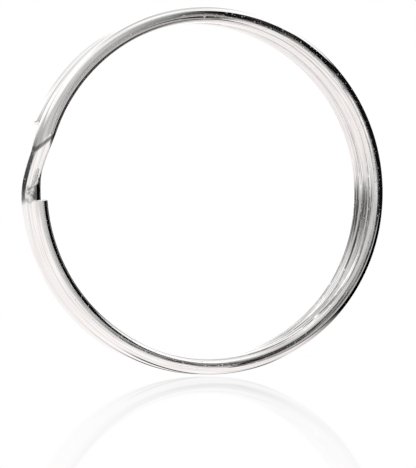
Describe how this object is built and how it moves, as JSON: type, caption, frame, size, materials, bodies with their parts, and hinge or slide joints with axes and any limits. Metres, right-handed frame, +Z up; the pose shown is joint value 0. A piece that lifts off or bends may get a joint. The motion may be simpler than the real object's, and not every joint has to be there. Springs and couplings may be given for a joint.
{
  "type": "split key ring",
  "caption": "Split key ring of flat spring-steel wire wound twice round, whose free ends spring open sideways so that a key slides in between the turns.",
  "frame": {"origin": "centre of the ring, midway between its front and back faces", "axes": "+Y along the ring's axis, from the front turn to the rear turn; +Z up with the ring standing upright; the step between the turns is on the -X side"},
  "size_m": [0.03, 0.004, 0.03],
  "materials": {
    "coil_steel": "bright nickel plating over spring steel, polished, with fine hairlines round the wire",
    "leaf_steel": "the same bright nickel plating, with rubbed free ends"
  },
  "bodies": {
    "coil": {"front_turn_1": "coil_steel", "front_turn_2": "coil_steel", "front_turn_3": "coil_steel", "front_turn_4": "coil_steel", "crossover": "coil_steel", "rear_turn_1": "coil_steel", "rear_turn_2": "coil_steel", "rear_turn_3": "coil_steel", "rear_turn_4": "coil_steel"},
    "front_leaf_1": {"front_leaf_1": "leaf_steel"},
    "front_leaf_2": {"front_leaf_2": "leaf_steel"},
    "front_leaf_3": {"front_leaf_3": "leaf_steel"},
    "front_leaf_4": {"front_leaf_4": "leaf_steel"},
    "front_leaf_5": {"front_leaf_5": "leaf_steel"},
    "front_leaf_6": {"front_leaf_6": "leaf_steel"},
    "rear_leaf_1": {"rear_leaf_1": "leaf_steel"},
    "rear_leaf_2": {"rear_leaf_2": "leaf_steel"},
    "rear_leaf_3": {"rear_leaf_3": "leaf_steel"},
    "rear_leaf_4": {"rear_leaf_4": "leaf_steel"},
    "rear_leaf_5": {"rear_leaf_5": "leaf_steel"},
    "rear_leaf_6": {"rear_leaf_6": "leaf_steel"}
  },
  "joints": [
    {"name": "front_bend_1", "type": "hinge", "parent": "coil", "child": "front_leaf_1", "pos_m": [0.00802, -0.00203, -0.0119], "axis": [-0.5592, 0, 0.829], "range_deg": [0, 2.5], "stiffness_Nm_per_rad": 0.1},
    {"name": "front_bend_2", "type": "hinge", "parent": "front_leaf_1", "child": "front_leaf_2", "pos_m": [0.00347, -0.00203, -0.01392], "axis": [-0.2419, 0, 0.9703], "range_deg": [0, 2.5]},
    {"name": "front_bend_3", "type": "hinge", "parent": "front_leaf_2", "child": "front_leaf_3", "pos_m": [-0.0015, -0.00203, -0.01427], "axis": [0.1045, 0, 0.9945], "range_deg": [0, 2.5]},
    {"name": "front_bend_4", "type": "hinge", "parent": "front_leaf_3", "child": "front_leaf_4", "pos_m": [-0.00629, -0.00203, -0.0129], "axis": [0.4384, 0, 0.8988], "range_deg": [0, 2.5]},
    {"name": "front_bend_5", "type": "hinge", "parent": "front_leaf_4", "child": "front_leaf_5", "pos_m": [-0.01032, -0.00203, -0.00997], "axis": [0.7193, 0, 0.6947], "range_deg": [0, 2.5]},
    {"name": "front_bend_6", "type": "hinge", "parent": "front_leaf_5", "child": "front_leaf_6", "pos_m": [-0.01311, -0.00203, -0.00584], "axis": [0.9135, 0, 0.4067], "range_deg": [0, 2.5]},
    {"name": "rear_bend_1", "type": "hinge", "parent": "coil", "child": "rear_leaf_1", "pos_m": [0.01115, 0.00203, 0.00903], "axis": [-0.7771, 0, -0.6293], "range_deg": [0, 2.5], "stiffness_Nm_per_rad": 0.1},
    {"name": "rear_bend_2", "type": "hinge", "parent": "rear_leaf_1", "child": "rear_leaf_2", "pos_m": [0.00739, 0.00203, 0.0123], "axis": [-0.515, 0, -0.8572], "range_deg": [0, 2.5]},
    {"name": "rear_bend_3", "type": "hinge", "parent": "rear_leaf_2", "child": "rear_leaf_3", "pos_m": [0.00274, 0.00203, 0.01409], "axis": [-0.1908, 0, -0.9816], "range_deg": [0, 2.5]},
    {"name": "rear_bend_4", "type": "hinge", "parent": "rear_leaf_3", "child": "rear_leaf_4", "pos_m": [-0.00224, 0.00203, 0.01417], "axis": [0.1564, 0, -0.9877], "range_deg": [0, 2.5]},
    {"name": "rear_bend_5", "type": "hinge", "parent": "rear_leaf_4", "child": "rear_leaf_5", "pos_m": [-0.00696, 0.00203, 0.01255], "axis": [0.4848, 0, -0.8746], "range_deg": [0, 2.5]},
    {"name": "rear_bend_6", "type": "hinge", "parent": "rear_leaf_5", "child": "rear_leaf_6", "pos_m": [-0.01083, 0.00203, 0.00941], "axis": [0.7547, 0, -0.6561], "range_deg": [0, 2.5]}
  ],
  "couplings": [
    {"joint": "front_bend_2", "follows": "front_bend_1", "ratio": 1},
    {"joint": "front_bend_3", "follows": "front_bend_1", "ratio": 1},
    {"joint": "front_bend_4", "follows": "front_bend_1", "ratio": 1},
    {"joint": "front_bend_5", "follows": "front_bend_1", "ratio": 1},
    {"joint": "front_bend_6", "follows": "front_bend_1", "ratio": 1},
    {"joint": "rear_bend_2", "follows": "rear_bend_1", "ratio": 1},
    {"joint": "rear_bend_3", "follows": "rear_bend_1", "ratio": 1},
    {"joint": "rear_bend_4", "follows": "rear_bend_1", "ratio": 1},
    {"joint": "rear_bend_5", "follows": "rear_bend_1", "ratio": 1},
    {"joint": "rear_bend_6", "follows": "rear_bend_1", "ratio": 1}
  ]
}
